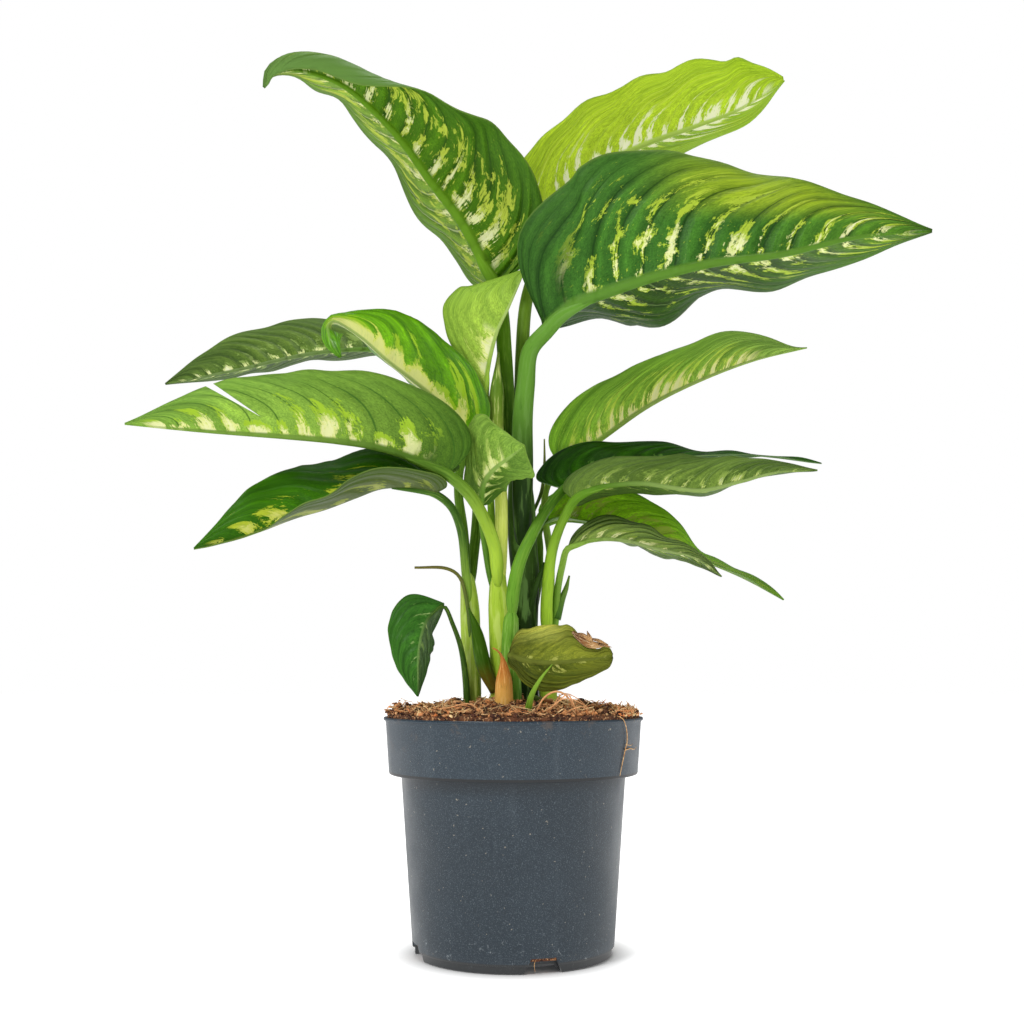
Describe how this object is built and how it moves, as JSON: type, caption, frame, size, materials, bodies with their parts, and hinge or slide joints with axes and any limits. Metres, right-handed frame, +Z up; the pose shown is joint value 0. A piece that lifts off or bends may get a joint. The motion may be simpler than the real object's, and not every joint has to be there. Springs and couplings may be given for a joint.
{
  "type": "potted dieffenbachia",
  "caption": "House plant with large variegated pointed leaves on short canes, in a round nursery pot with a stepped collar, filled with potting soil.",
  "frame": {"origin": "middle of the pot's flat bottom, on the surface it stands on", "axes": "+Z up; seen from the front when looking along +Y, with +X to the right"},
  "size_m": [0.5019, 0.1766, 0.6019],
  "materials": {
    "pot_plastic": "satin",
    "potting_soil": "matte",
    "cane": "satin",
    "leaf": "satin",
    "young_shoot": "satin",
    "dry_sheath": "matte"
  },
  "bodies": {
    "root": {"pot": "pot_plastic", "soil": "potting_soil", "cane_main": "cane", "cane_left": "cane", "cane_centre": "cane", "cane_front": "cane", "cane_right": "cane", "leaf_top_left": "leaf", "leaf_top_back": "leaf", "leaf_top_right": "leaf", "leaf_left_back": "leaf", "leaf_left_curled": "leaf", "leaf_left_long": "leaf", "leaf_left_folded": "leaf", "leaf_small_left": "leaf", "leaf_young_upright": "leaf", "leaf_young_centre": "leaf", "leaf_right_high": "leaf", "leaf_right_dark": "leaf", "leaf_right_front": "leaf", "leaf_right_low_back": "leaf", "leaf_right_low_front": "leaf", "leaf_damaged_front": "leaf", "stalk_wilted": "young_shoot", "sheath_pale": "young_shoot", "sheath_dry": "dry_sheath", "sheath_spent": "young_shoot", "spike_young": "young_shoot", "shoot_tip_right": "young_shoot", "sheath_dark": "young_shoot", "shoot_bud_soil": "young_shoot"}
  },
  "joints": []
}
